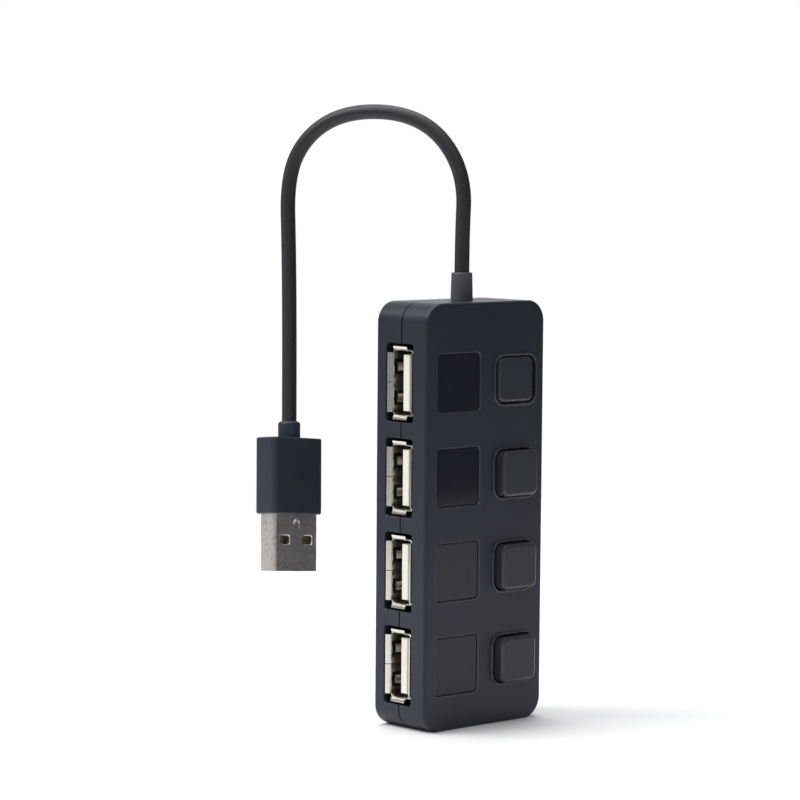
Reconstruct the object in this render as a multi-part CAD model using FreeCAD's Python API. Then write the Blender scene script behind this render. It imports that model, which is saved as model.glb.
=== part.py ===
import FreeCAD, Part
import math
import os

# USB hub: a slim four-port hub that stands on its small end, with a pushbutton for each port and a short
# captive cable.  Frame, in mm: X to the right along the front, Y away from the viewer, Z up.  The origin is
# the middle of the case's foot.

V = FreeCAD.Vector
DOWN = V(0, 0, -1)

# case
case_w = 32.4
case_d = 14.6
wall = 1.6
corner_r = 4.2            # corners of the front outline
edge_r = 0.6              # rounding along the front and rear edges
seam_w = 0.3              # groove along the parting line
seam_d = 0.25
ease = 0.16               # chamfer round the holes in the case
lip_t = 0.7               # rear shell's lip, which reaches into the front shell
lip_h = 1.3
fit_gap = 0.08            # clearance between fixed pieces that slide together

# rows of ports, windows and buttons
rows = 4
port_spacing = 6.2        # from one port's opening to the next
head_room = 9.45          # from the top port's opening up to the top of the case
foot_room = 6.55          # and from the bottom one's down to its foot

# USB-A receptacles
port_y = 0.6
port_in_w = 12.5          # along Z
port_in_h = 5.12          # along Y
port_sheet = 0.3
port_len = 13.0
port_drop = 0.15          # ports sit this far below the middle of their rows
port_recess = 0.1         # lips sit this far inside the case's side
port_corner_r = 0.5
lip_curl = 0.98           # the curled lips at the mouth reach this far forward and outward
lip_long_inset = 0.35     # the lips are this much shorter than the mouth, at each end
lip_short_inset = 0.6
port_clear_w = 0.52       # from the lips to the edge of the case's opening
port_clear_h = 0.31
port_hole_r = 0.6
port_finger_z = 3.1       # the contact fingers in the long walls
port_finger_w = 1.6
port_slot_w = 3.0
port_finger_from = 1.7    # the finger's free end, from the mouth
port_finger_to = 7.2
finger_bump = 1.5         # from the finger's free end to its innermost point
finger_flare = 0.45       # share of that depth at the free end
finger_in_rear = 0.75
finger_in_front = 0.3
slot_past_finger = 0.7    # the slot goes on past the finger's free end
port_seam = 0.14
tail_notch_w = 1.0        # notches for the contacts' tails, at the back of the shell
tail_notch_l = 0.6
port_leg_x = 8.0          # board legs, from the mouth
port_leg_w = 1.8
tongue_inset = 0.7        # from the shell's end walls to the tongue
tongue_t = 1.84
tongue_off = 0.975        # from the middle of the port towards the front
tongue_back = 0.93        # the tongue's end, from the lips
tongue_tip_r = 0.18
port_block_t = 0.8
port_block_back = 0.25    # the block stops this far before the shell's back
block_gap = 0.03
groove_from = 0.55        # the contacts' grooves start this far from the tongue's end
contact_gap = 0.02
contact_z = (-3.5, -1.0, 1.0, 3.5)
contact_w = 1.0
contact_t = 0.25
tail_w = 0.5

# circuit board
board_t = 1.2
board_gap = 0.45          # to the case walls
board_head = 4.9          # from the board up to the top of the case
board_left_gap = 0.3      # to the left wall, where the ports are
hole_gap = 0.2            # round the pins that go through the board
tail_out = 0.7            # how far pins stand out behind the board

# posts that hold the board
post_inset = 8.2          # from the case's sides
post_r = 1.8
pin_r = 0.95
pin_out = 0.8             # how far the locating pins stand out behind the board

# windows
window_edge = 3.05        # from the case's left side
window_size = 11.5
window_r = 0.9
window_edge_r = 0.12
window_sunk = 0.3
window_t = 0.8
window_ledge = 1.0
ledge_t = 0.7
guide_t = 0.8
guide_w = 4.0
led_size = (0.8, 0.7, 1.6)
led_gap = 0.2

# pushbuttons
well_edge = 2.55          # from the case's right side
well_w = 11.1
well_h = 9.54
well_r = 2.1
rim_w = 0.55
rim_h = 0.28
cap_gap_x = 0.75
cap_gap_z = 0.2
cap_top = 1.2
cap_wall = 1.0
cap_round = 0.7
cap_flange = 0.6          # beyond the well, so that the cap can't come out
cap_flange_t = 0.8
boss_wall = 0.7           # round the socket for the stem
boss_past_stem = 0.4
cap_out = 2.0             # how far a released cap stands out
cap_latched = 0.35        # and a latched one
latched_rows = (0,)       # the top button is pushed in
slide_gap = 0.05

# latching switches
switch_size = 7.0
switch_h = 5.0
switch_top = 0.5
switch_wall = 0.7
switch_floor = 0.6
stem_size = 3.0
stem_gap = 0.3            # from the stem's end to the bottom of its socket
plunger_t = 0.8
stem_grip = 2.2           # length of stem in the cap's socket
spring_r = 1.7
spring_wire = 0.28
spring_turns = 3
spring_steps = 8
terminal_x = 2.25
terminal_z = (-2.0, 0.0, 2.0)
terminal_size = (0.3, 0.6)

# strain relief and cord
cord_d = 3.0
relief_wall = 0.59        # rubber round the cord at the relief's top
relief_taper = 0.14
relief_h = 5.6
relief_edge_r = 0.35
relief_neck_wall = 0.2    # where it passes through the case
relief_flange_out = 1.4   # and the flange that holds it inside
relief_flange_t = 1.4
lead_r = 0.48
lead_pitch = 1.32
lead_drop = 1.4           # straight run of each lead below the flange
lead_pad_pitch = 1.9
lead_pad_drop = 3.8       # from the top of the board
lead_pad_run = 1.7
# across, back, and up from the top of the relief
cord_route = (
    (0.0, 0.0, 0.0), (0.0, 0.0, 7.0), (0.3, -0.3, 18.6), (-1.9, 4.2, 27.4),
    (-5.3, 12.1, 31.8), (-10.3, 23.4, 31.8), (-13.8, 31.2, 27.2), (-15.6, 35.4, 18.9),
    (-15.6, 34.7, 3.1), (-16.7, 33.1, -14.0), (-18.3, 31.2, -31.0),
)

# plug, which hangs in line with the cord's end
plug_turn = 2.4           # degrees about its own length, from facing the way the case does
plug_w = 12.0
plug_h = 4.5
plug_sheet = 0.3
plug_corner_r = 0.65
plug_open = 11.5          # length outside the overmold
plug_held = 6.4           # and inside it
plug_window = (2.4, 1.75)
plug_window_r = 0.35
plug_window_x = 3.1
plug_window_z = 5.4       # lower edge, from the tip
dimple_r = 1.0
dimple_d = 0.25
dimple_z = 9.5
blade_t = 1.95
blade_end = 0.4           # the insulator's end, inside the tip
blade_block = 4.6
blade_gap = 0.03
blade_groove_from = 1.2
plug_contact_len = (8.6, 7.4, 7.4, 8.6)
plug_contact_past = 0.9   # the strips reach this far below the overmold's end less their length
over_skin_w = 0.8         # overmold round the shell
over_skin_h = 0.85
over_h = 15.5
over_corner_r = 1.2
over_edge_r = 0.4
neck_wall = 0.77
neck_h = 3.4
neck_round = 0.7
mark_r = 1.1
mark_d = 0.15

# parts on the board
chip_size = (3.9, 1.4, 9.9)
chip_leg_pitch = 0.65
chip_legs = 14
chip_leg_w = 0.22
chip_leg_t = 0.15
chip_stand_off = 0.1
crystal_size = (10.2, 3.6, 4.4)
capacitor_r = 2.0
capacitor_h = 5.4
capacitor_x = 2.0         # from the middle of the buttons
capacitor_z = 7.2         # above the top row
ceramic_size = (1.2, 0.9, 2.0)
ceramic_z = 4.6
resistor_size = (1.6, 0.5, 0.8)
resistor_z = 1.5
small_parts_x = 4.0       # behind the ports

row_pitch = port_in_w + port_spacing
case_h = foot_room + (rows - 1) * row_pitch + port_in_w + head_room
front_y = -case_d / 2
rear_y = case_d / 2
side_x = -case_w / 2
post_x = case_w / 2 - post_inset
window_x = side_x + window_edge + window_size / 2
button_x = case_w / 2 - well_edge - well_w / 2
mouth_x = side_x + port_recess
port_back_x = mouth_x + port_len
port_out_w = port_in_w + 2 * port_sheet
port_out_h = port_in_h + 2 * port_sheet
port_hole_w = port_in_w + 2 * (lip_curl + port_clear_w)
port_hole_h = port_in_h + 2 * (lip_curl + port_clear_h)
tail_x = port_back_x - port_block_back
tongue_w = port_in_w - 2 * tongue_inset
board_y = port_y + port_out_h / 2
board_rear_y = board_y + board_t
tail_y = board_rear_y + tail_out
board_top = case_h - board_head
tongue_y = port_y - tongue_off
row_z = [case_h - head_room - port_in_w / 2 - n * row_pitch for n in range(rows)]
port_z = [z - port_drop for z in row_z]
post_z = [(row_z[0] + row_z[1]) / 2, (row_z[-2] + row_z[-1]) / 2]
guide_x = window_x + window_size / 2 - fit_gap - guide_t / 2
cap_w = well_w - 2 * cap_gap_x
cap_h = well_h - 2 * cap_gap_z
switch_y = board_y - switch_h
chip_z = (row_z[1] + row_z[2]) / 2
small_x = port_back_x + small_parts_x
relief_top_z = case_h + relief_h
relief_top_r = cord_d / 2 + relief_wall
relief_neck_r = cord_d / 2 + relief_neck_wall
flange_low_z = case_h - wall - relief_flange_t
over_w = plug_w + 2 * over_skin_w
over_d = plug_h + 2 * over_skin_h
neck_r = cord_d / 2 + neck_wall
over_top_z = -neck_h      # heights on the plug are from the top of its neck
over_low_z = over_top_z - over_h
tip_z = over_low_z - plug_open


def box(x0, x1, y0, y1, z0, z1):
    return Part.makeBox(x1 - x0, y1 - y0, z1 - z0, V(x0, y0, z0))


def centred(size_x, size_y, size_z, middle):
    corner = middle - V(size_x, size_y, size_z) * 0.5
    return Part.makeBox(size_x, size_y, size_z, corner)


def edges_along(shape, direction):
    found = []
    for edge in shape.Edges:
        if isinstance(edge.Curve, Part.Line) and abs(edge.Curve.Direction.dot(direction)) > 0.999:
            found.append(edge)
    return found


def rounded(shape, direction, radius):
    """A block with the edges along one direction rounded."""
    return shape.makeFillet(radius, edges_along(shape, direction))


def bar(size_a, size_b, radius, start, length, along):
    """A rounded bar.  size_a and size_b are its sizes on the two other axes, in X, Y, Z order."""
    if along.x:
        block = Part.makeBox(length, size_a, size_b, start - V(0, size_a / 2, size_b / 2))
    elif along.y:
        block = Part.makeBox(size_a, length, size_b, start - V(size_a / 2, 0, size_b / 2))
    else:
        block = Part.makeBox(size_a, size_b, length, start - V(size_a / 2, size_b / 2, 0))
    return rounded(block, along, radius) if radius else block


def rim_at(shape, level, axis):
    """Every edge that lies wholly at one level along an axis."""
    rim = []
    for edge in shape.Edges:
        if all(abs(point.dot(axis) - level) < 0.001 for point in edge.discretize(5)):
            rim.append(edge)
    return rim


def round_rim(shape, radius, level, axis):
    return shape.makeFillet(radius, rim_at(shape, level, axis))


def eased_hole(size_a, size_b, radius, mouth, depth, along):
    """A cutter for a hole with a small chamfer round its mouth.  mouth is its middle at the outer face."""
    hole = bar(size_a, size_b, radius, mouth - along, depth + 1, along)
    flare = bar(size_a + 2 * ease, size_b + 2 * ease, radius + ease, mouth - along * ease, 2 * ease, along)
    deep = (mouth + along * ease).dot(along)
    return hole.fuse(flare.makeChamfer(ease * 0.999, rim_at(flare, deep, along)))


def prism(points, direction):
    """A straight-sided solid from a closed outline."""
    corners = [V(*point) for point in points]
    outline = Part.makePolygon(corners + corners[:1])
    return Part.Face(outline).extrude(direction)


def cylinder(radius, start, length, along):
    return Part.makeCylinder(radius, length, start, along)


def tube_along(points, radius, name=""):
    """A round tube of straight runs joined by tangent arcs.  With a name, it prints its radii and length."""
    edges = []
    radii = []
    last = points[0]
    for before, corner, after in zip(points, points[1:], points[2:]):
        back = before - corner
        onward = after - corner
        reach = 0.45 * min(back.Length, onward.Length)
        half_turn = (math.pi - back.getAngle(onward)) / 2
        bend_r = reach / math.tan(half_turn)
        radii.append(round(bend_r, 1))
        back.normalize()
        onward.normalize()
        start = corner + back * reach
        end = corner + onward * reach
        inward = back + onward
        inward.normalize()
        centre = corner + inward * math.hypot(reach, bend_r)
        middle = centre - inward * bend_r
        edges.append(Part.LineSegment(last, start).toShape())
        edges.append(Part.Arc(start, middle, end).toShape())
        last = end
    edges.append(Part.LineSegment(last, points[-1]).toShape())
    path = Part.Wire(edges)
    ring = Part.Wire(Part.makeCircle(radius, points[0], points[1] - points[0]))
    tube = path.makePipeShell([ring], True, False)
    if name:
        expected = math.pi * radius ** 2 * path.Length
        ratio = round(tube.Volume / expected, 4)
        print(name, "bend radii", radii, "length", round(path.Length, 2), "volume ratio", ratio)
    return tube


def case_block(inset, low_y, high_y):
    width = case_w - 2 * inset
    height = case_h - 2 * inset
    return bar(width, height, corner_r - inset, V(0, low_y, case_h / 2), high_y - low_y, V(0, 1, 0))


def case_outside():
    block = case_block(0, front_y, rear_y)
    block = round_rim(block, edge_r, front_y, V(0, 1, 0))
    return round_rim(block, edge_r, rear_y, V(0, 1, 0))


def seam_ring():
    half = seam_w / 2
    return case_block(-1, -half, half).cut(case_block(seam_d, -half, half))


def case_cuts():
    """Everything that is cut through both shells: port openings, cord outlet and the seam groove."""
    cuts = [seam_ring(), cylinder(relief_neck_r + fit_gap, V(0, 0, case_h + 1), wall + 2, DOWN)]
    for z in port_z:
        mouth = V(side_x, port_y, z)
        cuts.append(eased_hole(port_hole_h, port_hole_w, port_hole_r, mouth, wall + 0.5, V(1, 0, 0)))
    return cuts


def window_frame(z):
    middle = V(window_x, front_y + wall, z)
    size = window_size + 2 * window_ledge
    return bar(size, size, window_r, middle, window_sunk + window_t + ledge_t - wall, V(0, 1, 0))


def window_cuts(z):
    depth = window_sunk + window_t
    pocket = eased_hole(window_size, window_size, window_r, V(window_x, front_y, z), depth, V(0, 1, 0))
    left = window_x - window_size / 2 + window_ledge
    right = window_x + window_size / 2
    low = z - window_size / 2 + window_ledge
    high = z + window_size / 2 - window_ledge
    return pocket.fuse(box(left, right, front_y, front_y + wall + ledge_t + 1, low, high))


def well_rim(z):
    middle = V(button_x, front_y - rim_h, z)
    outer = bar(well_w + 2 * rim_w, well_h + 2 * rim_w, well_r + rim_w, middle, 1, V(0, 1, 0))
    rim = outer.cut(well_hole(z))
    return round_rim(rim, rim_h * 0.8, front_y - rim_h, V(0, 1, 0))


def well_hole(z):
    return bar(well_w, well_h, well_r, V(button_x, front_y - 1, z), wall + 2, V(0, 1, 0))


def front_shell():
    shell = case_outside().common(case_block(-1, front_y - 1, 0))
    shell = shell.cut(case_block(wall, front_y + wall, 1))
    shell = shell.cut(case_block(wall - lip_t - fit_gap, -lip_h - fit_gap, 1))
    for z in row_z:
        shell = shell.cut(well_hole(z))
        shell = shell.fuse(well_rim(z))
        shell = shell.fuse(window_frame(z))
        shell = shell.cut(window_cuts(z))
    for x in (-post_x, post_x):
        for z in post_z:
            root_y = front_y + wall / 2
            shell = shell.fuse(cylinder(post_r, V(x, root_y, z), board_y - root_y, V(0, 1, 0)))
            shell = shell.fuse(cylinder(pin_r, V(x, board_y - 1, z), 1 + board_t + pin_out, V(0, 1, 0)))
    for cut in case_cuts():
        shell = shell.cut(cut)
    return shell.removeSplitter()


def rear_shell():
    shell = case_outside().common(case_block(-1, 0, rear_y + 1))
    shell = shell.cut(case_block(wall, -1, rear_y - wall))
    lip = case_block(wall - lip_t, -lip_h, wall).cut(case_block(wall, -lip_h - 1, wall + 1))
    shell = shell.fuse(lip)
    for x in (-post_x, post_x):
        for z in post_z:
            post_len = rear_y - wall / 2 - board_rear_y
            shell = shell.fuse(cylinder(post_r, V(x, board_rear_y, z), post_len, V(0, 1, 0)))
            pin_hole = cylinder(pin_r + fit_gap, V(x, board_rear_y - 1, z), 1 + pin_out + 0.2, V(0, 1, 0))
            shell = shell.cut(pin_hole)
    for cut in case_cuts():
        shell = shell.cut(cut)
    return shell.removeSplitter()


def curled_lip(side, length, half_gap, turn_about_x):
    """One curled lip of a receptacle's mouth, made on the +Y side and turned to its own side."""
    curl = math.pi / 2
    r_in = lip_curl
    r_out = r_in - port_sheet
    centre = V(lip_curl, half_gap + r_in, 0)

    def on_curl(radius, angle):
        return centre + V(-radius * math.sin(angle), -radius * math.cos(angle), 0)

    inner = Part.Arc(on_curl(r_in, 0), on_curl(r_in, curl / 2), on_curl(r_in, curl)).toShape()
    end = Part.LineSegment(on_curl(r_in, curl), on_curl(r_out, curl)).toShape()
    outer = Part.Arc(on_curl(r_out, curl), on_curl(r_out, curl / 2), on_curl(r_out, 0)).toShape()
    root = Part.LineSegment(on_curl(r_out, 0), on_curl(r_in, 0)).toShape()
    lip = Part.Face(Part.Wire([inner, end, outer, root])).extrude(V(0, 0, length))
    lip.translate(V(0, 0, -length / 2))
    lip.rotate(V(0, 0, 0), V(1, 0, 0), turn_about_x)
    lip.translate(side)
    return lip


def finger(z, wall_y, inward, depth):
    """A spring finger: it slants in from its root, turns at its bump and flares out at its free end."""
    low = z - port_finger_w / 2
    root_x = mouth_x + port_finger_to + 0.05
    free_x = mouth_x + port_finger_from
    bump_x = free_x + finger_bump
    bump_y = wall_y + inward * depth
    free_y = wall_y + inward * depth * finger_flare
    sheet = -inward * port_sheet
    profile = (
        (root_x, wall_y, low), (bump_x, bump_y, low), (free_x, free_y, low),
        (free_x, free_y + sheet, low), (bump_x, bump_y + sheet, low), (root_x, wall_y + sheet, low),
    )
    return prism(profile, V(0, 0, port_finger_w))


def port_shell(z):
    tube_x = mouth_x + lip_curl
    length = port_back_x - tube_x
    middle = V(tube_x, port_y, z)
    shell = bar(port_out_h, port_out_w, port_corner_r, middle, length, V(1, 0, 0))
    inside_r = port_corner_r - port_sheet
    hollow = bar(port_in_h, port_in_w, inside_r, middle - V(1, 0, 0), length + 2, V(1, 0, 0))
    shell = shell.cut(hollow)
    lip_long = port_in_w - 2 * lip_long_inset
    lip_short = port_in_h - 2 * lip_short_inset
    lips = (
        (lip_long, port_in_h / 2, 0), (lip_long, port_in_h / 2, 180),
        (lip_short, port_in_w / 2, 90), (lip_short, port_in_w / 2, 270),
    )
    for length_of_lip, half_gap, turn in lips:
        shell = shell.fuse(curled_lip(V(mouth_x, port_y, z), length_of_lip, half_gap, turn))
    slot_from = mouth_x + port_finger_from - slot_past_finger
    slot_len = port_finger_to - port_finger_from + slot_past_finger
    for inward, depth in ((-1, finger_in_rear), (1, finger_in_front)):
        wall_y = port_y - inward * port_in_h / 2
        sheet_y = wall_y - inward * port_sheet / 2
        for offset in (-port_finger_z, port_finger_z):
            middle = V(slot_from + slot_len / 2, sheet_y, z + offset)
            shell = shell.cut(centred(slot_len, 2 * port_sheet, port_slot_w, middle))
            shell = shell.fuse(finger(z + offset, wall_y, inward, depth))
    seam_y = port_y + port_in_h / 2
    half = port_seam / 2
    shell = shell.cut(box(mouth_x - 1, port_back_x + 1, seam_y - 0.2, seam_y + 2, z - half, z + half))
    for offset in contact_z:
        notch_middle = V(port_back_x, seam_y, z + offset)
        shell = shell.cut(centred(2 * tail_notch_l, 4 * port_sheet, tail_notch_w, notch_middle))
    for side in (-1, 1):
        outer_z = z + side * port_out_w / 2
        low = min(outer_z, outer_z - side * port_sheet)
        leg_x = mouth_x + port_leg_x - port_leg_w / 2
        leg = box(leg_x, leg_x + port_leg_w, port_y, tail_y, low, low + port_sheet)
        shell = shell.fuse(leg)
    return shell.removeSplitter()


def port_tongue(z):
    block_x = tail_x - port_block_t
    block_middle = V(block_x + port_block_t / 2, port_y, z)
    block = centred(port_block_t, port_in_h - 2 * block_gap, port_in_w - 2 * block_gap, block_middle)
    block = rounded(block, V(1, 0, 0), port_corner_r - port_sheet)
    tip_x = mouth_x + tongue_back
    tongue = bar(tongue_t, tongue_w, 0, V(tip_x, tongue_y, z), block_x + 0.2 - tip_x, V(1, 0, 0))
    tongue = round_rim(tongue, tongue_tip_r, tip_x, V(1, 0, 0))
    moulding = tongue.fuse(block)
    groove_low = tongue_y + tongue_t / 2 - contact_t
    half = contact_w / 2
    groove_top = groove_low + 2 * contact_t
    for offset in contact_z:
        low = z + offset - half
        high = z + offset + half
        moulding = moulding.cut(box(tip_x + groove_from, port_back_x, groove_low, groove_top, low, high))
    return moulding.removeSplitter()


def port_contact(z):
    """One contact: a strip in the tongue's groove and a tail down through the board."""
    groove_low = tongue_y + tongue_t / 2 - contact_t
    start_x = mouth_x + tongue_back + groove_from + contact_gap
    half = contact_w / 2 - contact_gap
    strip = box(start_x, tail_x + contact_t, groove_low, groove_low + contact_t, z - half, z + half)
    tail = box(tail_x, tail_x + contact_t, groove_low, tail_y, z - tail_w / 2, z + tail_w / 2)
    return strip.fuse(tail).removeSplitter()


def port_contacts(z):
    return Part.makeCompound([port_contact(z + offset) for offset in contact_z])


def window(z):
    size = window_size - 2 * fit_gap
    plate_y = front_y + window_sunk
    plate = bar(size, size, window_r, V(window_x, plate_y, z), window_t, V(0, 1, 0))
    plate = round_rim(plate, window_edge_r, plate_y, V(0, 1, 0))
    guide_from = plate_y + window_t - 0.1
    guide_len = board_y - led_size[1] - led_gap - guide_from
    guide = bar(guide_t, guide_w, 0, V(guide_x, guide_from, z), guide_len, V(0, 1, 0))
    return plate.fuse(guide).removeSplitter()


def status_led(z):
    return centred(led_size[0], led_size[1], led_size[2], V(guide_x, board_y - led_size[1] / 2, z))


def press(row):
    """How far this row's button is pushed in from its released place."""
    return cap_out - cap_latched if row in latched_rows else 0


def button_cap(row):
    z = row_z[row]
    face_y = front_y - cap_out
    flange_y = front_y + wall + slide_gap
    open_y = flange_y + cap_flange_t
    cap = bar(cap_w, cap_h, well_r - cap_gap_x, V(button_x, face_y, z), open_y - face_y, V(0, 1, 0))
    cap = round_rim(cap, cap_round, face_y, V(0, 1, 0))
    flange_w = well_w + 2 * cap_flange
    flange_h = well_h + 2 * cap_flange
    cap = cap.fuse(bar(flange_w, flange_h, well_r, V(button_x, flange_y, z), cap_flange_t, V(0, 1, 0)))
    hollow_y = face_y + cap_top
    hollow = bar(cap_w - 2 * cap_wall, cap_h - 2 * cap_wall, 0.6, V(button_x, hollow_y, z), 10, V(0, 1, 0))
    cap = cap.cut(hollow)
    socket = stem_size + 2 * slide_gap
    boss_size = socket + 2 * boss_wall
    boss_len = stem_grip + boss_past_stem
    boss = bar(boss_size, boss_size, 0.4, V(button_x, hollow_y - 0.1, z), boss_len, V(0, 1, 0))
    boss = boss.cut(bar(socket, socket, 0, V(button_x, hollow_y + 0.2, z), 10, V(0, 1, 0)))
    cap = cap.fuse(boss).removeSplitter()
    cap.translate(V(0, press(row), 0))
    return cap


def switch_body(z):
    body = bar(switch_size, switch_size, 0.5, V(button_x, switch_y, z), switch_h, V(0, 1, 0))
    room = switch_size - 2 * switch_wall
    room_len = switch_h - switch_top - switch_floor
    body = body.cut(bar(room, room, 0, V(button_x, switch_y + switch_top, z), room_len, V(0, 1, 0)))
    mouth = stem_size + 4 * slide_gap
    return body.cut(bar(mouth, mouth, 0, V(button_x, switch_y - 1, z), 1.5 + switch_top, V(0, 1, 0)))


def switch_plunger(row):
    z = row_z[row]
    flange_y = switch_y + switch_top + slide_gap
    stem_from = front_y - cap_out + cap_top + stem_gap
    stem = bar(stem_size, stem_size, 0.2, V(button_x, stem_from, z), flange_y - stem_from + 0.2, V(0, 1, 0))
    room = switch_size - 2 * switch_wall - 4 * slide_gap
    flange = bar(room, room, 0.3, V(button_x, flange_y, z), plunger_t, V(0, 1, 0))
    plunger = stem.fuse(flange).removeSplitter()
    plunger.translate(V(0, press(row), 0))
    return plunger


def switch_spring(row):
    top_y = switch_y + switch_top + slide_gap + plunger_t + press(row)
    floor_y = board_y - switch_floor
    length = floor_y - top_y - spring_wire - 0.1
    steps = spring_turns * spring_steps
    start_y = top_y + spring_wire / 2 + 0.05
    route = []
    for n in range(steps + 1):
        angle = 2 * math.pi * n / spring_steps
        x = button_x + spring_r * math.cos(angle)
        z = row_z[row] + spring_r * math.sin(angle)
        route.append(V(x, start_y + length * n / steps, z))
    return tube_along(route, spring_wire / 2)


def switch_terminals():
    pins = []
    for z in row_z:
        for x in (-terminal_x, terminal_x):
            for offset in terminal_z:
                middle = V(button_x + x, (board_y + tail_y) / 2, z + offset)
                pins.append(centred(terminal_size[0], tail_y - board_y, terminal_size[1], middle))
    return Part.makeCompound(pins)


def circuit_board():
    left = side_x + wall + board_left_gap
    right = case_w / 2 - wall - board_gap
    low = wall + board_gap
    board = box(left, right, board_y, board_rear_y, low, board_top)
    board = rounded(board, V(0, 1, 0), corner_r - wall)
    holes = []
    for x in (-post_x, post_x):
        for z in post_z:
            holes.append((x, z, pin_r + fit_gap))
    for z in row_z:
        for x in (-terminal_x, terminal_x):
            for offset in terminal_z:
                holes.append((button_x + x, z + offset, terminal_size[1] / 2 + hole_gap))
    for z in port_z:
        for offset in contact_z:
            holes.append((tail_x + contact_t / 2, z + offset, tail_w / 2 + hole_gap))
        for side in (-1, 1):
            leg_middle = V(mouth_x + port_leg_x, board_y, z + side * (port_out_w - port_sheet) / 2)
            slot = centred(port_leg_w + 2 * hole_gap, 4, port_sheet + 2 * hole_gap, leg_middle)
            board = board.cut(slot)
    for x, z, radius in holes:
        board = board.cut(cylinder(radius, V(x, board_y - 1, z), board_t + 2, V(0, 1, 0)))
    return board


def hub_chip():
    width, height, length = chip_size
    body_h = height - chip_stand_off
    body = centred(width, body_h, length, V(button_x, board_y - chip_stand_off - body_h / 2, chip_z))
    notch = cylinder(0.4, V(button_x, board_y - height - 1, chip_z + length / 2 - 1), 1.2, V(0, 1, 0))
    return body.cut(notch)


def chip_leads():
    """The chip's legs: out of its side at half its height, down to the board and out along it."""
    legs = []
    low_y = board_y - chip_size[1] / 2
    high_y = low_y - chip_leg_t
    # outward from the chip's side, then across
    outline = (
        (0, high_y), (0.45, high_y), (0.65, board_y - chip_leg_t), (1.1, board_y - chip_leg_t),
        (1.1, board_y), (0.52, board_y), (0.34, low_y), (0, low_y),
    )
    for side in (-1, 1):
        body_x = button_x + side * chip_size[0] / 2
        for n in range(chip_legs):
            z = chip_z + (n - (chip_legs - 1) / 2) * chip_leg_pitch - chip_leg_w / 2
            corners = [(body_x + side * out, y, z) for out, y in outline]
            legs.append(prism(corners, V(0, 0, chip_leg_w)))
    return Part.makeCompound(legs)


def crystal():
    length, height, width = crystal_size
    can = centred(length, height, width, V(-post_x, board_y - height / 2, chip_z))
    return rounded(can, V(0, 1, 0), width / 2 - 0.05)


def bulk_capacitor():
    top_y = board_y - capacitor_h
    top = V(button_x + capacitor_x, top_y, row_z[0] + capacitor_z)
    can = cylinder(capacitor_r, top, capacitor_h, V(0, 1, 0))
    return round_rim(can, 0.3, top_y, V(0, 1, 0))


def ceramic_capacitors():
    blocks = []
    for z in row_z:
        for offset in (-ceramic_z, ceramic_z):
            blocks.append(centred(*ceramic_size, V(small_x, board_y - ceramic_size[1] / 2, z + offset)))
    return Part.makeCompound(blocks)


def resistors():
    blocks = []
    for z in row_z:
        for offset in (-resistor_z, resistor_z):
            blocks.append(centred(*resistor_size, V(small_x, board_y - resistor_size[1] / 2, z + offset)))
    return Part.makeCompound(blocks)


def strain_relief():
    relief = Part.makeCone(relief_top_r + relief_taper, relief_top_r, relief_h, V(0, 0, case_h), V(0, 0, 1))
    relief = round_rim(relief, relief_edge_r, relief_top_z, V(0, 0, 1))
    neck = cylinder(relief_neck_r, V(0, 0, case_h + 0.5), wall + 1, DOWN)
    flange_top = V(0, 0, case_h - wall - fit_gap)
    flange = cylinder(relief_neck_r + relief_flange_out, flange_top, relief_flange_t - fit_gap, DOWN)
    return relief.fuse(neck).fuse(flange).removeSplitter()


def lead(column, row_of, pad):
    """One insulated lead from the cord's inner end to its pad on the board."""
    start = V(column * lead_pitch / 2, row_of * lead_pitch / 2, flange_low_z)
    lie_y = board_y - lead_r
    pad_x = pad * lead_pad_pitch
    pad_z = board_top - lead_pad_drop
    route = [
        start,
        V(start.x, start.y, flange_low_z - lead_drop),
        V(pad_x, lie_y, pad_z + lead_pad_run),
        V(pad_x, lie_y, pad_z),
    ]
    return tube_along(route, lead_r, "lead")


def cord_points():
    return [V(across, back, relief_top_z + up) for across, back, up in cord_route]


def cable():
    return tube_along(cord_points(), cord_d / 2, "cord")


def hung(shape):
    """Takes a piece of the plug from the plug's own frame, upright under the origin, to the cord's end."""
    before, end = cord_points()[-2:]
    lean = FreeCAD.Rotation(V(0, 0, 1), before - end)
    shape.Placement = FreeCAD.Placement(end, lean * FreeCAD.Rotation(V(0, 0, 1), plug_turn))
    return shape


def plug_overmold():
    body = bar(over_w, over_d, over_corner_r, V(0, 0, over_low_z), over_h, V(0, 0, 1))
    body = round_rim(body, over_edge_r, over_top_z, V(0, 0, 1))
    body = round_rim(body, over_edge_r, over_low_z, V(0, 0, 1))
    neck = cylinder(neck_r, V(0, 0, over_top_z - 1), neck_h + 1, V(0, 0, 1))
    body = body.fuse(round_rim(neck, neck_round, 0, V(0, 0, 1)))
    body = body.cut(bar(plug_w, plug_h, plug_corner_r, V(0, 0, over_low_z - 1), plug_held + 1, V(0, 0, 1)))
    mark = cylinder(mark_r, V(0, -over_d / 2 - 1, over_low_z + over_h / 2), 1 + mark_d, V(0, 1, 0))
    return hung(body.cut(mark).removeSplitter())


def plug_dimple():
    """The dimple in the front of the plug's shell: what it adds inside, and what it takes away outside."""
    ball_r = (dimple_r ** 2 + dimple_d ** 2) / (2 * dimple_d)
    middle = V(0, dimple_d - plug_h / 2 - ball_r, tip_z + dimple_z)
    inside_y = plug_sheet - plug_h / 2
    near = bar(4 * dimple_r, 4 * dimple_r, 0, V(0, inside_y - 0.05, middle.z), 1, V(0, 1, 0))
    bump = Part.makeSphere(ball_r + plug_sheet, middle).common(near)
    return bump, Part.makeSphere(ball_r, middle)


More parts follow.
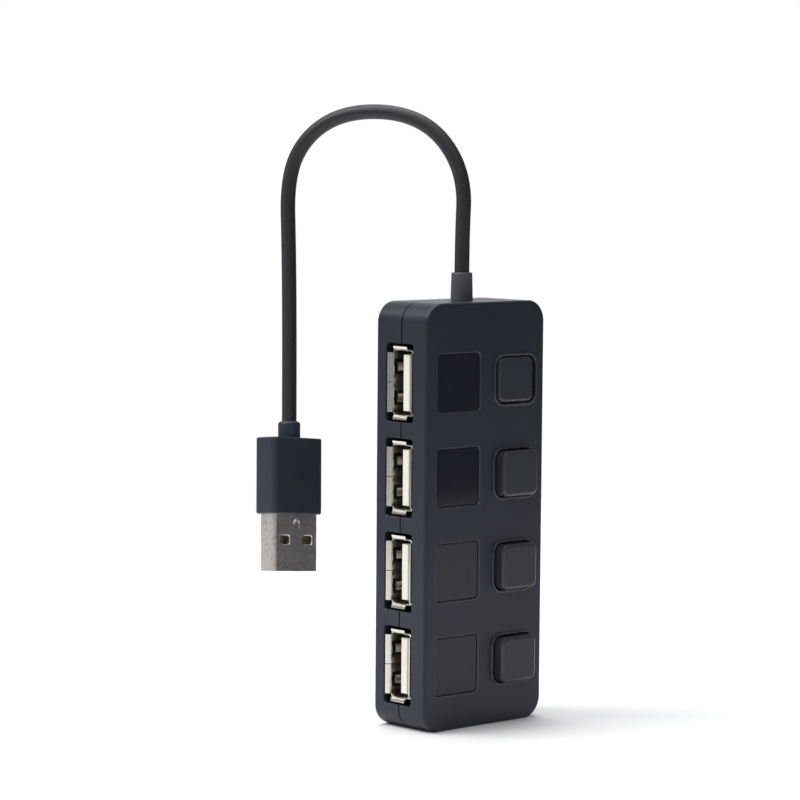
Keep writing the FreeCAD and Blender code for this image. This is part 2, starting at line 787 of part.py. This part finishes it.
def plug_shell():
    length = plug_open + plug_held
    inside_w = plug_w - 2 * plug_sheet
    inside_h = plug_h - 2 * plug_sheet
    shell = bar(plug_w, plug_h, plug_corner_r, V(0, 0, tip_z), length, V(0, 0, 1))
    inside = bar(inside_w, inside_h, plug_corner_r - plug_sheet, V(0, 0, tip_z - 1), length + 2, V(0, 0, 1))
    shell = shell.cut(inside)
    width, height = plug_window
    for x in (-plug_window_x, plug_window_x):
        mouth = V(x, -plug_h / 2, tip_z + plug_window_z + height / 2)
        front = eased_hole(width, height, plug_window_r, mouth, 2 * plug_sheet, V(0, 1, 0))
        shell = shell.cut(front).cut(front.mirror(V(0, 0, 0), V(0, 1, 0)))
    bump, dent = plug_dimple()
    return hung(shell.fuse(bump).cut(dent).removeSplitter())


def plug_insulator():
    inside_w = plug_w - 2 * plug_sheet - 2 * blade_gap
    rear = plug_h / 2 - plug_sheet - blade_gap
    front = -rear
    top_z = over_low_z + plug_held - 0.1
    blade = box(-inside_w / 2, inside_w / 2, rear - blade_t, rear, tip_z + blade_end, top_z)
    block = box(-inside_w / 2, inside_w / 2, front, rear, top_z - blade_block, top_z)
    body = rounded(blade.fuse(block).removeSplitter(), V(0, 0, 1), plug_corner_r - plug_sheet)
    groove_top = rear - blade_t + contact_t
    groove_low_z = tip_z + blade_end + blade_groove_from
    half = contact_w / 2
    for x in contact_z:
        body = body.cut(box(x - half, x + half, rear - blade_t - 0.05, groove_top, groove_low_z, top_z + 1))
    return hung(body)


def plug_contacts():
    strips = []
    low_y = plug_h / 2 - plug_sheet - blade_gap - blade_t
    top_z = over_low_z + plug_held
    half = contact_w / 2 - contact_gap
    for x, length in zip(contact_z, plug_contact_len):
        low_z = over_low_z - length - plug_contact_past
        strips.append(box(x - half, x + half, low_y, low_y + contact_t, low_z, top_z))
    return hung(Part.makeCompound(strips))


def build():
    nodes = {"front_shell": front_shell(), "rear_shell": rear_shell(), "circuit_board": circuit_board()}
    for row, z in enumerate(row_z):
        name = str(row + 1)
        nodes["led_window_" + name] = window(z)
        nodes["status_led_" + name] = status_led(z)
        nodes["usb_port_shell_" + name] = port_shell(port_z[row])
        nodes["usb_port_tongue_" + name] = port_tongue(port_z[row])
        nodes["usb_port_contacts_" + name] = port_contacts(port_z[row])
        nodes["button_cap_" + name] = button_cap(row)
        nodes["switch_body_" + name] = switch_body(z)
        nodes["switch_plunger_" + name] = switch_plunger(row)
        nodes["switch_spring_" + name] = switch_spring(row)
    nodes["switch_terminals"] = switch_terminals()
    nodes["hub_chip"] = hub_chip()
    nodes["chip_leads"] = chip_leads()
    nodes["crystal"] = crystal()
    nodes["bulk_capacitor"] = bulk_capacitor()
    nodes["ceramic_capacitors"] = ceramic_capacitors()
    nodes["resistors"] = resistors()
    nodes["strain_relief"] = strain_relief()
    nodes["lead_power"] = lead(-1, -1, -1.5)
    nodes["lead_data_minus"] = lead(-1, 1, -0.5)
    nodes["lead_data_plus"] = lead(1, 1, 0.5)
    nodes["lead_ground"] = lead(1, -1, 1.5)
    nodes["cable"] = cable()
    nodes["plug_overmold"] = plug_overmold()
    nodes["plug_shell"] = plug_shell()
    nodes["plug_insulator"] = plug_insulator()
    nodes["plug_contacts"] = plug_contacts()
    return nodes


os.makedirs("parts", exist_ok=True)
for node, shape in build().items():
    solids = shape.Solids
    volume = round(sum(solid.Volume for solid in solids), 3)
    print(node, len(solids), "solids", "volume", volume, "valid", shape.isValid())
    shape.exportStep(os.path.join("parts", node + ".step"))
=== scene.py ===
import math

import bpy
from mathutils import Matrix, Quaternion, Vector


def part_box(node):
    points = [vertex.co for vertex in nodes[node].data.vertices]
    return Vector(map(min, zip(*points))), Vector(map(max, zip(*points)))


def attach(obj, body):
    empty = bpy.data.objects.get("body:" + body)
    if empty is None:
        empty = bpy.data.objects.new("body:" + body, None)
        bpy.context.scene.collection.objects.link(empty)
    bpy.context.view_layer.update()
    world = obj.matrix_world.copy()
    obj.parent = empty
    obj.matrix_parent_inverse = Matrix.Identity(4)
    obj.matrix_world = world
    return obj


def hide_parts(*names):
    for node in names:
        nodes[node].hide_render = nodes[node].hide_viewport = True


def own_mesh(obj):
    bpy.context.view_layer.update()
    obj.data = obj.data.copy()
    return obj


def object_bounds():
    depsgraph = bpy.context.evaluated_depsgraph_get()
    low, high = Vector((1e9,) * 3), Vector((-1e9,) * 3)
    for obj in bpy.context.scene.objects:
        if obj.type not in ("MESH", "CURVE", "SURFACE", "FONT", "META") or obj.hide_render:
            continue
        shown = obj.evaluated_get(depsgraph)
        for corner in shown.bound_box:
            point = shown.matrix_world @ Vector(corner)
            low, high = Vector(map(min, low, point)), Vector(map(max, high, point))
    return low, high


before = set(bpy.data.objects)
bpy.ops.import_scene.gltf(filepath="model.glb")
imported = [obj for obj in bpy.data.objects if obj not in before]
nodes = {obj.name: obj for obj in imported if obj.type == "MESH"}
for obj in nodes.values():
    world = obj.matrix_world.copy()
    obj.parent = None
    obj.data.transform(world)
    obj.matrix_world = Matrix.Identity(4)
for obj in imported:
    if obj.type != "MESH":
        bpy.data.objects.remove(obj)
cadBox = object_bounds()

rows = ("1", "2", "3", "4")
print("frame loaded,", len(nodes), "nodes")


# camera: a long lens, a little above the hub and to its left

view = {
    "place": (-0.429257, -0.446203, 0.113932),
    "heading": 42.769,     # degrees from +Y towards +X
    "down": 4.559,
    "roll": 0.46,
    "lens": 139.82,
}


def makeCamera():
    heading = math.radians(view["heading"])
    down = math.radians(view["down"])
    ahead = Vector((math.sin(heading) * math.cos(down), math.cos(heading) * math.cos(down), -math.sin(down)))
    lens = bpy.data.cameras.new("camera")
    lens.lens = view["lens"]
    lens.sensor_width = 36
    lens.clip_start = 0.01
    camera = bpy.data.objects.new("camera", lens)
    camera.location = view["place"]
    camera.rotation_mode = "QUATERNION"
    turn = Quaternion((0, 0, 1), math.radians(view["roll"]))
    camera.rotation_quaternion = ahead.to_track_quat("-Z", "Y") @ turn
    bpy.context.scene.collection.objects.link(camera)
    bpy.context.scene.camera = camera


makeCamera()
print("camera placed")


# where the rows are, and the squares on the front whose edges are polished and lightened with a painted
# highlight

def middleOf(name, axis):
    low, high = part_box(name)
    return (low[axis] + high[axis]) / 2


rowHeights = {
    "top": middleOf("led_window_1", 2),
    "pitch": middleOf("led_window_1", 2) - middleOf("led_window_2", 2),
}
wells = {"x": middleOf("button_cap_1", 0), "width": 0.0111, "height": 0.00954, "corner": 0.0021}
caps = {"x": wells["x"], "width": 0.0096, "height": 0.00914, "corner": 0.00135}
windows = {"x": -0.0074, "width": 0.0115, "height": 0.0115, "corner": 0.0009}


# shader graphs

class Wire:  # one output of a node; a sum written with it adds the Math nodes
    def __init__(self, graph, socket):
        self.graph = graph
        self.socket = socket

    def __add__(self, other):
        return self.graph.maths("ADD", self, other)

    def __radd__(self, other):
        return self.graph.maths("ADD", other, self)

    def __sub__(self, other):
        return self.graph.maths("SUBTRACT", self, other)

    def __rsub__(self, other):
        return self.graph.maths("SUBTRACT", other, self)

    def __mul__(self, other):
        return self.graph.maths("MULTIPLY", self, other)

    def __rmul__(self, other):
        return self.graph.maths("MULTIPLY", other, self)

    def __pow__(self, other):
        return self.graph.maths("POWER", self, other)

    def __mod__(self, other):
        return self.graph.maths("FLOORED_MODULO", self, other)

    def __abs__(self):
        return self.graph.maths("ABSOLUTE", self, 0.0)


class Graph:
    def __init__(self, tree):
        self.tree = tree
        tree.nodes.clear()

    def node(self, kind, settings=None, sockets=None, output=0):
        made = self.tree.nodes.new("ShaderNode" + kind)
        for name, value in (settings or {}).items():
            setattr(made, name, value)
        for name, value in (sockets or {}).items():
            if isinstance(value, Wire):
                self.tree.links.new(value.socket, made.inputs[name])
            else:
                made.inputs[name].default_value = value
        return Wire(self, made.outputs[output])

    def maths(self, operation, first, second):
        return self.node("Math", {"operation": operation}, {0: first, 1: second})

    def dot(self, vector, direction):
        return self.node("VectorMath", {"operation": "DOT_PRODUCT"}, {0: vector, 1: direction}, "Value")

    def spread(self, value, fromLow, fromHigh, low, high):  # a smooth step from one range to another
        sockets = {"Value": value, "From Min": fromLow, "From Max": fromHigh, "To Min": low, "To Max": high}
        return self.node("MapRange", {"interpolation_type": "SMOOTHSTEP"}, sockets)

    def blend(self, amount, first, second):  # two colours
        colours = [value if isinstance(value, Wire) else (*value, 1) for value in (first, second)]
        return self.node("Mix", {"data_type": "RGBA"}, {0: amount, 6: colours[0], 7: colours[1]}, 2)

    def place(self, stretch=(1, 1, 1)):  # where a point is on the piece, in metres
        here = self.node("TexCoord", output="Object")
        return self.node("Mapping", {}, {"Vector": here, "Scale": stretch})

    def along(self, axis):
        return self.node("SeparateXYZ", {}, {"Vector": self.place()}, axis)

    # distance out from a column of rounded squares on the front, negative inside them
    def fromSquare(self, square):
        high = rowHeights["top"] - rowHeights["pitch"] / 2
        across = abs(self.along("X") - square["x"]) - (square["width"] / 2 - square["corner"])
        up = (self.along("Z") - high) % rowHeights["pitch"] - rowHeights["pitch"] / 2
        up = abs(up) - (square["height"] / 2 - square["corner"])
        outX = self.maths("MAXIMUM", across, 0.0)
        outZ = self.maths("MAXIMUM", up, 0.0)
        inside = self.maths("MINIMUM", self.maths("MAXIMUM", across, up), 0.0)
        return (outX * outX + outZ * outZ) ** 0.5 + inside - square["corner"]

    def noise(self, size, detail=2.0, stretch=(1, 1, 1)):  # size is the width of one blotch, in metres
        sockets = {"Vector": self.place(stretch), "Scale": 1 / size, "Detail": detail}
        return self.node("TexNoise", {}, sockets, "Fac")

    def bump(self, height, depth):  # depth in metres, where height goes from 0 to 1
        return self.node("Bump", {}, {"Height": height, "Distance": depth, "Strength": 1.0}, "Normal")

    def surface(self, sockets):
        shader = self.node("BsdfPrincipled", {}, sockets)
        self.close("OutputMaterial", shader)

    def close(self, kind, shader):
        end = self.tree.nodes.new("ShaderNode" + kind)
        self.tree.links.new(shader.socket, end.inputs["Surface"])


def newMaterial(name):
    material = bpy.data.materials.new(name)
    material.use_nodes = True
    return material, Graph(material.node_tree)


def tint(colour, amount):
    return tuple(channel * amount for channel in colour)


# floor, world and lights

studio = {
    "floorReach": 0.30,      # half the card's side; past it the hub's upper windows mirror the dark room
    "floorColour": (0.89, 0.89, 0.89),
    "room": 0.09,            # what lies in front and to the right
    "wall": {"side": (-0.70, 0.70, 0.12), "glow": 0.26, "from": 0.60, "to": 0.97},
    "backdrop": {"side": (0.68, 0.73, 0.12), "glow": 0.95, "from": 0.80, "to": 0.99},
    "fill": {"side": (-0.60, -0.75, 0.25), "glow": 0.14, "from": 0.2, "to": 0.95},
    "ceiling": {"side": (0, 0, 1), "glow": 0.40, "from": 0.3, "to": 1.0},
}

lamps = {
    "key": {"place": (-0.50, 0.35, 0.75), "size": 0.50, "power": 6.2},
    "top": {"place": (0.10, 0.20, 0.95), "size": 0.60, "power": 6.2},
    "edge": {"place": (-0.30, -0.60, 0.70), "size": 0.14, "power": 0.8},
}


def makeFloor():
    bpy.ops.mesh.primitive_plane_add(size=2 * studio["floorReach"])
    floor = bpy.context.object
    floor.name = "floor"
    material, graph = newMaterial("floor_card")
    fibre = graph.noise(0.0012, 3)
    colour = graph.blend(fibre, tint(studio["floorColour"], 0.99), studio["floorColour"])
    graph.surface({"Base Color": colour, "Roughness": 0.75, "Specular IOR Level": 0.15})
    floor.data.materials.append(material)


def makeWorld():
    world = bpy.data.worlds.new("studio")
    world.use_nodes = True
    bpy.context.scene.world = world
    graph = Graph(world.node_tree)
    direction = graph.node("TexCoord", output="Generated")
    glow = studio["room"]
    for name in ("wall", "backdrop", "fill", "ceiling"):
        patch = studio[name]
        facing = graph.dot(direction, Vector(patch["side"]).normalized())
        glow = graph.spread(facing, patch["from"], patch["to"], 0.0, patch["glow"]) + glow
    room = graph.node("Background", {}, {"Color": (0.97, 0.98, 1.0, 1), "Strength": glow})
    white = graph.node("Background", {}, {"Color": (1, 1, 1, 1), "Strength": 1.0})
    seen = graph.node("LightPath", output="Is Camera Ray")
    graph.close("OutputWorld", graph.node("MixShader", {}, {0: seen, 1: room, 2: white}))


def makeLamps():
    middle = (cadBox[0] + cadBox[1]) / 2
    for name, lamp in lamps.items():
        light = bpy.data.lights.new(name, "AREA")
        light.size = lamp["size"]
        light.energy = lamp["power"]
        holder = bpy.data.objects.new(name, light)
        holder.location = lamp["place"]
        holder.rotation_euler = (middle - holder.location).to_track_quat("-Z", "Y").to_euler()
        bpy.context.scene.collection.objects.link(holder)


makeFloor()
makeWorld()
makeLamps()
bpy.context.scene.view_settings.view_transform = "Standard"
print("studio lit")


# plastics and rubber

def mouldedPlastic(name, colour, roughness, shine=0.36, polishAndHighlight=None):  # a mask function of the graph, 0 to 1: edges made glossier (polish) and lightened by a painted highlight
    material, graph = newMaterial(name)
    fine = graph.noise(0.00024, 3)
    flow = graph.noise(0.006, 2)
    handled = graph.spread(graph.noise(0.016, 3), 0.45, 0.75, 0.0, 1.0)
    shade = graph.blend(flow, tint(colour, 0.88), tint(colour, 1.14))
    gloss = roughness + (fine - 0.5) * 0.10 - handled * 0.035
    if polishAndHighlight:
        # painted highlight: the masked edges blend towards a paler colour; they are also made glossier, as
        # polish
        polishAndHighlightMask = polishAndHighlight(graph) * (0.75 + 0.5 * graph.noise(0.0009, 3))
        shade = graph.blend(polishAndHighlightMask * edgePolishAndHighlight["amount"], shade, edgePolishAndHighlight["colour"])
        gloss = gloss - polishAndHighlightMask * edgePolishAndHighlight["polish"]
    graph.surface({
        "Base Color": shade,
        "Roughness": gloss,
        "Specular IOR Level": shine,
        "Normal": graph.bump(fine + flow * 0.3, 0.0000022),
    })
    return material


# edge polish and painted highlight: amount and colour paint the paler highlight, polish lowers the roughness,
# rim is the rim's width
edgePolishAndHighlight = {"amount": 0.55, "colour": (0.060, 0.064, 0.075), "polish": 0.14, "rim": 0.00055}
casing = {"colour": (0.0138, 0.0175, 0.0295), "roughness": 0.40}
buttons = {"colour": (0.0195, 0.0235, 0.0325), "roughness": 0.36}
overmold = {"colour": (0.0310, 0.0350, 0.0510), "roughness": 0.38, "shine": 0.28}
switchParts = {"body": (0.012, 0.012, 0.013), "plunger": (0.62, 0.61, 0.57)}
lens = {"colour": (0.0125, 0.0145, 0.0215), "roughness": 0.07, "shine": 0.27}
rubber = {"relief": (0.078, 0.084, 0.098), "cord": (0.0190, 0.0182, 0.0230), "roughness": 0.46}


def casingPolishAndHighlight(graph):  # polish and painted highlight on the rims of the wells and the edges of the windows
    rim = edgePolishAndHighlight["rim"]
    onFront = graph.spread(graph.along("Y"), -0.0071, -0.0067, 1.0, 0.0)
    inRows = graph.spread(graph.along("Z"), rowHeights["top"] + 0.0075, rowHeights["top"] + 0.0085, 1.0, 0.0)
    fromRim = abs(graph.fromSquare(wells) - rim / 2)
    fromWindow = abs(graph.fromSquare(windows) - 0.0001)
    onRim = graph.spread(fromRim, rim * 0.35, rim * 0.75, 1.0, 0.0)
    onWindow = graph.spread(fromWindow, 0.00012, 0.00028, 1.0, 0.0)
    return graph.maths("MAXIMUM", onRim, onWindow) * onFront * inRows


def capPolishAndHighlight(graph):  # polish and painted highlight on the rounded edge of a cap's face, also lightening the cap's sides in the gap
    return graph.spread(graph.fromSquare(caps), -0.0009, -0.0002, 0.0, 1.0)


def windowLens():
    material, graph = newMaterial("window_lens")
    haze = graph.noise(0.0035, 3)
    graph.surface({
        "Base Color": graph.blend(haze, tint(lens["colour"], 0.85), tint(lens["colour"], 1.2)),
        "Roughness": lens["roughness"] + haze * 0.012,
        "Specular IOR Level": lens["shine"],
        "Normal": graph.bump(graph.noise(0.005, 1), 0.000001),
    })
    return material


def softRubber(name, colour):
    material, graph = newMaterial(name)
    skin = graph.noise(0.00035, 3)
    dust = graph.spread(graph.noise(0.0022, 4), 0.52, 0.80, 0.0, 1.0)
    bare = graph.blend(skin, tint(colour, 0.9), tint(colour, 1.1))
    graph.surface({
        "Base Color": graph.blend(dust * 0.35, bare, tint(colour, 1.5)),
        "Roughness": rubber["roughness"] + skin * 0.10 + dust * 0.06,
        "Specular IOR Level": 0.42,
        "Normal": graph.bump(skin, 0.0000035),
    })
    return material


# metals

def brushedMetal(name, colour, roughness, along="z", mottle=0.3, lines=0.00012):
    material, graph = newMaterial(name)
    stretch = {"x": (0.03, 1, 1), "y": (1, 0.03, 1), "z": (1, 1, 0.03)}[along]
    brush = graph.noise(lines, 3, stretch)
    cloud = graph.noise(0.0014, 4)
    tarnish = graph.spread(cloud, 0.40, 0.68, 0.0, 1.0)
    bare = graph.blend(brush, tint(colour, 0.92), tint(colour, 1.05))
    graph.surface({
        "Base Color": graph.blend(tarnish * mottle, bare, tint(colour, 0.62)),
        "Metallic": 1.0,
        "Roughness": roughness + (brush - 0.5) * 0.14 + tarnish * 0.10,
        "Normal": graph.bump(brush + cloud * 0.6, 0.0000012),
    })
    return material


nickel = {
    "port": (0.70, 0.67, 0.61),
    # the next colour is a painted shade: dark brownish, for the shade deep inside the port
    "portPaintedShade": (0.24, 0.20, 0.18),
    "portRoughness": 0.22,
    "paintedShadeFrom": 0.0009,        # how far in from the mouth the painted shade darkens the plating
    "paintedShadeTo": 0.0022,
    "finger": {"up": 0.0031, "halfWidth": 0.0008, "to": 0.0050},    # kept bare of the painted shade, above and below the middle
    "plug": (0.84, 0.785, 0.74),
    "plugDull": (0.57, 0.51, 0.48),
    "plugRoughness": 0.37,
}
smallMetals = {
    "gold": (0.83, 0.62, 0.28),
    "tin": (0.72, 0.72, 0.70),
    "spring": (0.60, 0.60, 0.60),
    "can": (0.70, 0.70, 0.69),
}


def portNickel():  # bare nickel on the curled lips, with a painted shade darkening it brownish inside
    material, graph = newMaterial("port_nickel")
    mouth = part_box("usb_port_shell_1")[0][0]
    depth = graph.along("X") - mouth
    # painted shade: past the mouth the colour blends to the dark one, except on the fingers
    inside = graph.spread(depth, nickel["paintedShadeFrom"], nickel["paintedShadeTo"], 0.0, 1.0)
    finger = nickel["finger"]
    middle = middleOf("usb_port_shell_1", 2) - rowHeights["pitch"] / 2
    up = abs((graph.along("Z") - middle) % rowHeights["pitch"] - rowHeights["pitch"] / 2)
    half = finger["halfWidth"]
    offFinger = graph.spread(abs(up - finger["up"]), half, half + 0.0001, 0.0, 1.0)
    behind = graph.spread(depth, finger["to"] - 0.0008, finger["to"], 0.0, 1.0)
    inside = inside * graph.maths("MAXIMUM", offFinger, behind)
    cloud = graph.noise(0.0009, 3)
    drawn = graph.noise(0.00010, 2, (0.05, 1, 1))
    bare = graph.blend(cloud, tint(nickel["port"], 0.90), nickel["port"])
    paintedShadeColour = graph.blend(cloud, tint(nickel["portPaintedShade"], 0.7), nickel["portPaintedShade"])
    graph.surface({
        "Base Color": graph.blend(inside, bare, paintedShadeColour),
        "Metallic": 1.0,
        "Roughness": nickel["portRoughness"] + drawn * 0.06 + inside * 0.12,
        "Normal": graph.bump(drawn, 0.0000006),
    })
    return material


def plugNickel():  # tumbled plating, speckled all over
    material, graph = newMaterial("plug_nickel")
    speck = graph.spread(graph.noise(0.00050, 4), 0.38, 0.68, 0.0, 1.0)
    grain = graph.noise(0.00022, 2)
    colour = graph.blend(speck * 0.6 + grain * 0.3, nickel["plug"], nickel["plugDull"])
    graph.surface({
        "Base Color": colour,
        "Metallic": 1.0,
        "Roughness": nickel["plugRoughness"] - speck * 0.10 + grain * 0.08,
        "Normal": graph.bump(speck + grain * 0.4, 0.0000010),
    })
    return material


# light mouldings and the board's parts

def paleMoulding(name, colour, roughness):
    material, graph = newMaterial(name)
    fine = graph.noise(0.0003, 3)
    flow = graph.noise(0.004, 2)
    graph.surface({
        "Base Color": graph.blend(flow, tint(colour, 0.95), colour),
        "Roughness": roughness + (fine - 0.5) * 0.12,
        "Normal": graph.bump(fine, 0.000002),
    })
    return material


def clearLed():
    material, graph = newMaterial("led_clear")
    haze = graph.noise(0.0004, 2)
    graph.surface({
        "Base Color": graph.blend(haze, (0.70, 0.72, 0.66), (0.86, 0.86, 0.78)),
        "Roughness": 0.12 + haze * 0.12,
        "Coat Weight": 0.5,
    })
    return material


def solderMask():
    material, graph = newMaterial("board_green")
    weave = graph.node("TexChecker", {}, {"Vector": graph.place(), "Scale": 2200.0}, "Fac")
    copper = graph.spread(graph.noise(0.0018, 1, (1, 1, 0.25)), 0.50, 0.53, 0.0, 1.0)
    mask = graph.blend(copper, (0.003, 0.013, 0.007), (0.005, 0.022, 0.011))
    graph.surface({
        "Base Color": graph.blend(weave * 0.12, mask, (0.008, 0.032, 0.018)),
        "Roughness": 0.28 + copper * 0.06,
        "Coat Weight": 0.3,
        "Normal": graph.bump(copper + weave * 0.1, 0.000012),
    })
    return material


def paintNodes(material, *names):
    for name in names:
        for slot in nodes[name].material_slots:
            slot.material = material


def eachRow(*stems):
    return [stem + "_" + row for stem in stems for row in rows]


def paintEverything():
    case = mouldedPlastic("case_plastic", casing["colour"], casing["roughness"], polishAndHighlight=casingPolishAndHighlight)
    paintNodes(case, "front_shell", "rear_shell")
    button = mouldedPlastic("button_plastic", buttons["colour"], buttons["roughness"], polishAndHighlight=capPolishAndHighlight)
    paintNodes(button, *eachRow("button_cap"))
    paintNodes(windowLens(), *eachRow("led_window"))
    paintNodes(clearLed(), *eachRow("status_led"))
    paintNodes(portNickel(), *eachRow("usb_port_shell"))
    paintNodes(paleMoulding("tongue_ivory", (0.83, 0.80, 0.73), 0.42), *eachRow("usb_port_tongue"))
    gold = brushedMetal("contact_gold", smallMetals["gold"], 0.22, "x", 0.15)
    paintNodes(gold, *eachRow("usb_port_contacts"), "plug_contacts")
    paintNodes(mouldedPlastic("switch_black", switchParts["body"], 0.45), *eachRow("switch_body"))
    paintNodes(paleMoulding("plunger_white", switchParts["plunger"], 0.38), *eachRow("switch_plunger"))
    paintNodes(brushedMetal("spring_steel", smallMetals["spring"], 0.28, "y", 0.1), *eachRow("switch_spring"))
    tin = brushedMetal("tinned_metal", smallMetals["tin"], 0.34, "z", 0.2)
    paintNodes(tin, "switch_terminals", "chip_leads")
    paintNodes(solderMask(), "circuit_board")
    paintNodes(mouldedPlastic("chip_epoxy", (0.014, 0.014, 0.014), 0.55), "hub_chip")
    paintNodes(brushedMetal("can_metal", smallMetals["can"], 0.25, "x", 0.1), "crystal", "bulk_capacitor")
    paintNodes(paleMoulding("ceramic_tan", (0.42, 0.30, 0.19), 0.40), "ceramic_capacitors")
    paintNodes(mouldedPlastic("resistor_black", (0.02, 0.02, 0.021), 0.30), "resistors")
    paintNodes(softRubber("relief_rubber", rubber["relief"]), "strain_relief")
    mould = mouldedPlastic("overmold_plastic", overmold["colour"], overmold["roughness"], overmold["shine"])
    paintNodes(mould, "plug_overmold")
    paintNodes(plugNickel(), "plug_shell")
    paintNodes(paleMoulding("plug_grey", (0.30, 0.28, 0.26), 0.45), "plug_insulator")
    jackets = {
        "lead_power": (0.42, 0.018, 0.014),
        "lead_data_minus": (0.70, 0.69, 0.66),
        "lead_data_plus": (0.02, 0.20, 0.06),
        "lead_ground": (0.012, 0.012, 0.012),
    }
    for name, colour in jackets.items():
        paintNodes(softRubber(name, colour), name)


paintEverything()
print("nodes painted")


# cord: leaves the relief upwards, arches over behind the case and ends in its plug

cordLook = {
    "diameter": 0.003,
    "length": 0.1186,
    "route": (  # from the relief's top to the plug's neck, in metres
        (0.0, 0.0, 0.0902), (0.0, 0.0, 0.0972), (0.0003, -0.0003, 0.1088),
        (-0.0019, 0.0042, 0.1176), (-0.0053, 0.0121, 0.1220), (-0.0103, 0.0234, 0.1220),
        (-0.0138, 0.0312, 0.1174), (-0.0156, 0.0354, 0.1091), (-0.0156, 0.0347, 0.0933),
        (-0.0167, 0.0331, 0.0762), (-0.0183, 0.0312, 0.0592),
    ),
}


def makeCord():
    curve = bpy.data.curves.new("cord", "CURVE")
    curve.dimensions = "3D"
    spline = curve.splines.new("NURBS")
    spline.points.add(len(cordLook["route"]) - 1)
    for point, place in zip(spline.points, cordLook["route"]):
        point.co = (*place, 1)
    spline.order_u = 3
    spline.use_endpoint_u = True
    curve.resolution_u = 16
    curve.bevel_depth = cordLook["diameter"] / 2
    curve.bevel_resolution = 8
    curve.use_fill_caps = True
    curve.materials.append(softRubber("cord_jacket", rubber["cord"]))
    cord = bpy.data.objects.new("cord", curve)
    bpy.context.scene.collection.objects.link(cord)
    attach(cord, "hub")
    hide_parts("cable")


makeCord()
print("cord made")


# springs: copies of the imported ones; the latched row's is shortened to its length at rest

springs = {
    "floorHeight": 0.00286,      # Y of the end that stays still
    "pressed": 0.335,            # what is left of the length when a released button is pushed home
    "latchedLength": 0.72,       # and of the latched one's, at rest
}


def makeSprings():
    for row in rows:
        packed = nodes["switch_spring_" + row]
        spring = packed.copy()
        spring.data = packed.data.copy()
        for key in list(spring.keys()):
            if key.startswith("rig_"):
                del spring[key]
        spring.parent = None
        spring.name = "coil_" + row
        bpy.context.scene.collection.objects.link(spring)
        latched = row == "1"
        if latched:
            for vertex in spring.data.vertices:
                reach = vertex.co.y - springs["floorHeight"]
                vertex.co.y = springs["floorHeight"] + reach * springs["latchedLength"]
        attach(spring, "hub")
        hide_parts("switch_spring_" + row)
        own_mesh(spring)


makeSprings()
print("springs made")
